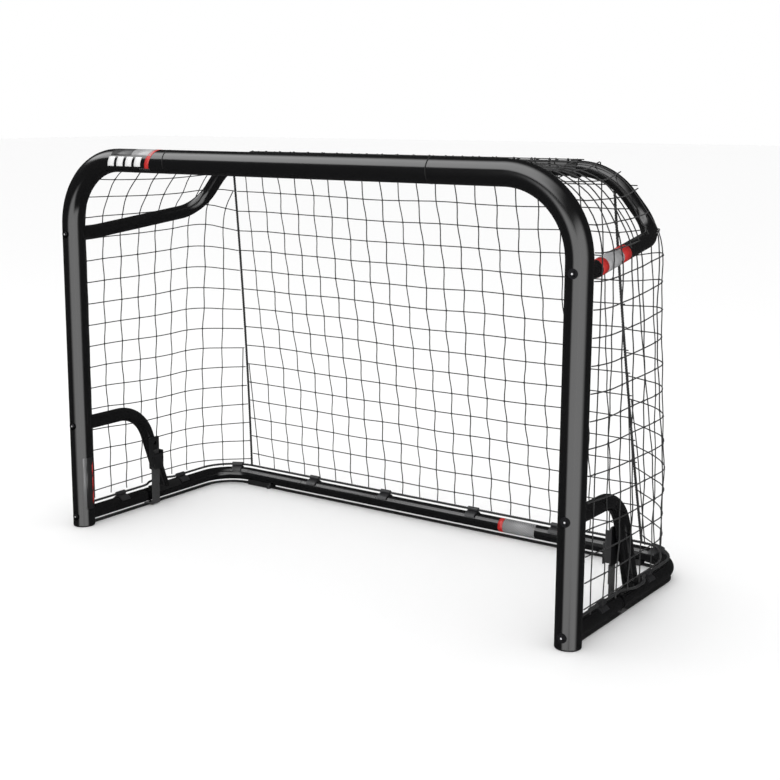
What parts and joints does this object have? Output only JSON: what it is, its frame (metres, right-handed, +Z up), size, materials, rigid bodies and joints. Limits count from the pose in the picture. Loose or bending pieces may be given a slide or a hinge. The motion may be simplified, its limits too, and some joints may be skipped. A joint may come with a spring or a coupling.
{
  "type": "hockey goal net",
  "caption": "Free-standing street hockey goal: bolted and plugged black steel tube with side hoops, cam buckles, clipped border rope and a sloping knotted net.",
  "frame": {"origin": "on the floor, under the middle of the goal's whole outline", "axes": "+X to the right seen from the open front, +Y towards the back of the net, +Z up"},
  "size_m": [1.2, 0.5037, 0.8],
  "materials": {
    "frame_paint": "gloss black powder coat on steel tube",
    "sleeve_steel": "bare drawn steel",
    "bolt_steel": "black oxide",
    "foot_plastic": "moulded black plastic, fine grain",
    "buckle_paint": "black painted pressed steel",
    "strap_webbing": "woven black webbing",
    "floor_rubber": "matt black flat strip",
    "clip_plastic": "mid-grey moulded plastic",
    "border_rope": "braided black rope",
    "net_twine": "knotted dark twine"
  },
  "bodies": {
    "goal": {"border_cord": "border_rope", "bracket_screw_left": "bolt_steel", "bracket_screw_right": "bolt_steel", "buckle_bracket_left": "buckle_paint", "buckle_bracket_right": "buckle_paint", "buckle_pin_left": "bolt_steel", "buckle_pin_right": "bolt_steel", "corner_rope_left": "border_rope", "corner_rope_right": "border_rope", "crossbar_middle": "frame_paint", "crossbar_sleeve_left": "sleeve_steel", "crossbar_sleeve_right": "sleeve_steel", "floor_strip_left": "floor_rubber", "floor_strip_rear": "floor_rubber", "floor_strip_right": "floor_rubber", "foot_cap_left": "foot_plastic", "foot_cap_right": "foot_plastic", "foot_pad_left": "foot_plastic", "foot_pad_right": "foot_plastic", "frame_bolts_left": "bolt_steel", "frame_bolts_right": "bolt_steel", "frame_washers_left": "bolt_steel", "frame_washers_right": "bolt_steel", "ground_corner_left": "frame_paint", "ground_corner_right": "frame_paint", "ground_rear_tube": "frame_paint", "ground_sleeves_left": "sleeve_steel", "ground_sleeves_right": "sleeve_steel", "ground_stub_left": "frame_paint", "ground_stub_right": "frame_paint", "hoop_left": "frame_paint", "hoop_right": "frame_paint", "net_clips_left": "clip_plastic", "net_clips_rear": "clip_plastic", "net_clips_right": "clip_plastic", "net_corner_left": "net_twine", "net_corner_right": "net_twine", "net_hooks": "clip_plastic", "net_left": "net_twine", "net_rear": "net_twine", "net_right": "net_twine", "net_top": "net_twine", "post_left": "frame_paint", "post_right": "frame_paint", "saddle_left": "foot_plastic", "saddle_right": "foot_plastic", "strap_left": "strap_webbing", "strap_right": "strap_webbing", "strap_rivet_left": "bolt_steel", "strap_rivet_right": "bolt_steel", "tube_inserts_left": "foot_plastic", "tube_inserts_right": "foot_plastic", "upper_arm_left": "frame_paint", "upper_arm_right": "frame_paint", "upper_rear_bar": "frame_paint", "upper_sleeve_left": "sleeve_steel", "upper_sleeve_right": "sleeve_steel"},
    "lever_left": {"buckle_lever_left": "buckle_paint"},
    "lever_right": {"buckle_lever_right": "buckle_paint"}
  },
  "joints": [
    {"name": "buckle_left", "type": "hinge", "parent": "goal", "child": "lever_left", "pos_m": [-0.5509, -0.02643, 0.112], "axis": [0, -1, 0], "range_deg": [0, 100]},
    {"name": "buckle_right", "type": "hinge", "parent": "goal", "child": "lever_right", "pos_m": [0.5509, -0.02643, 0.112], "axis": [0, 1, 0], "range_deg": [0, 100]}
  ]
}
